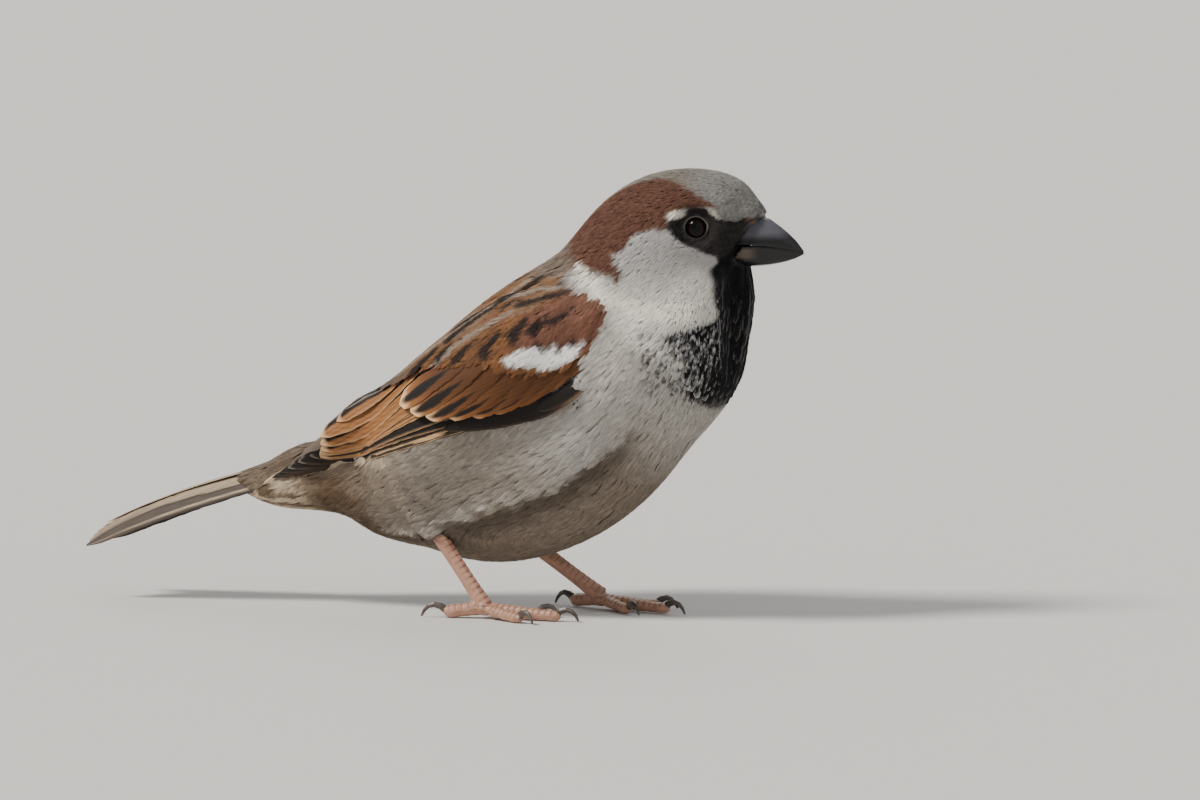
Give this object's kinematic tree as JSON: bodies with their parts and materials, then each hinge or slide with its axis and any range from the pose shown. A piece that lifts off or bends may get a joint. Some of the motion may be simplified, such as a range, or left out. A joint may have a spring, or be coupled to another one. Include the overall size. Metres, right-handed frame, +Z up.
{
  "type": "house sparrow",
  "caption": "Adult male house sparrow standing on both feet, wings folded and tail let down, as a life-size still model.",
  "frame": {"origin": "on the floor under the middle of the bird's box", "axes": "+X forward, the way the bill points; +Y the bird's left; +Z up"},
  "size_m": [0.1342, 0.042, 0.0807],
  "materials": {
    "head_plumage": "soft matt feathers, grey crown and chestnut sides",
    "neck_plumage": "soft matt feathers",
    "body_plumage": "soft matt feathers, warm grey below and streaked brown above",
    "covert_feathers": "matt chestnut feathers with a white bar",
    "flight_feathers": "satin dark brown feathers with buff edges",
    "tail_feathers": "satin brown feathers",
    "bill_horn": "smooth blue-black horn",
    "eye": "wet, very dark brown",
    "leg_skin": "pinkish brown scaled skin",
    "claw_horn": "dark horn"
  },
  "bodies": {
    "root": {"head": "head_plumage", "neck": "neck_plumage", "trunk": "body_plumage", "tail_right": "tail_feathers", "tail_middle": "tail_feathers", "tail_left": "tail_feathers", "bill_upper": "bill_horn", "bill_lower": "bill_horn", "eye_right": "eye", "wing_right_coverts": "covert_feathers", "wing_right_secondaries": "flight_feathers", "wing_right_primaries": "flight_feathers", "thigh_right": "body_plumage", "tarsus_right": "leg_skin", "toe_right_middle": "leg_skin", "claw_right_middle": "claw_horn", "toe_right_inner": "leg_skin", "claw_right_inner": "claw_horn", "toe_right_outer": "leg_skin", "claw_right_outer": "claw_horn", "toe_right_hind": "leg_skin", "claw_right_hind": "claw_horn", "eye_left": "eye", "wing_left_coverts": "covert_feathers", "wing_left_secondaries": "flight_feathers", "wing_left_primaries": "flight_feathers", "thigh_left": "body_plumage", "tarsus_left": "leg_skin", "toe_left_middle": "leg_skin", "claw_left_middle": "claw_horn", "toe_left_inner": "leg_skin", "claw_left_inner": "claw_horn", "toe_left_outer": "leg_skin", "claw_left_outer": "claw_horn", "toe_left_hind": "leg_skin", "claw_left_hind": "claw_horn"}
  },
  "joints": []
}
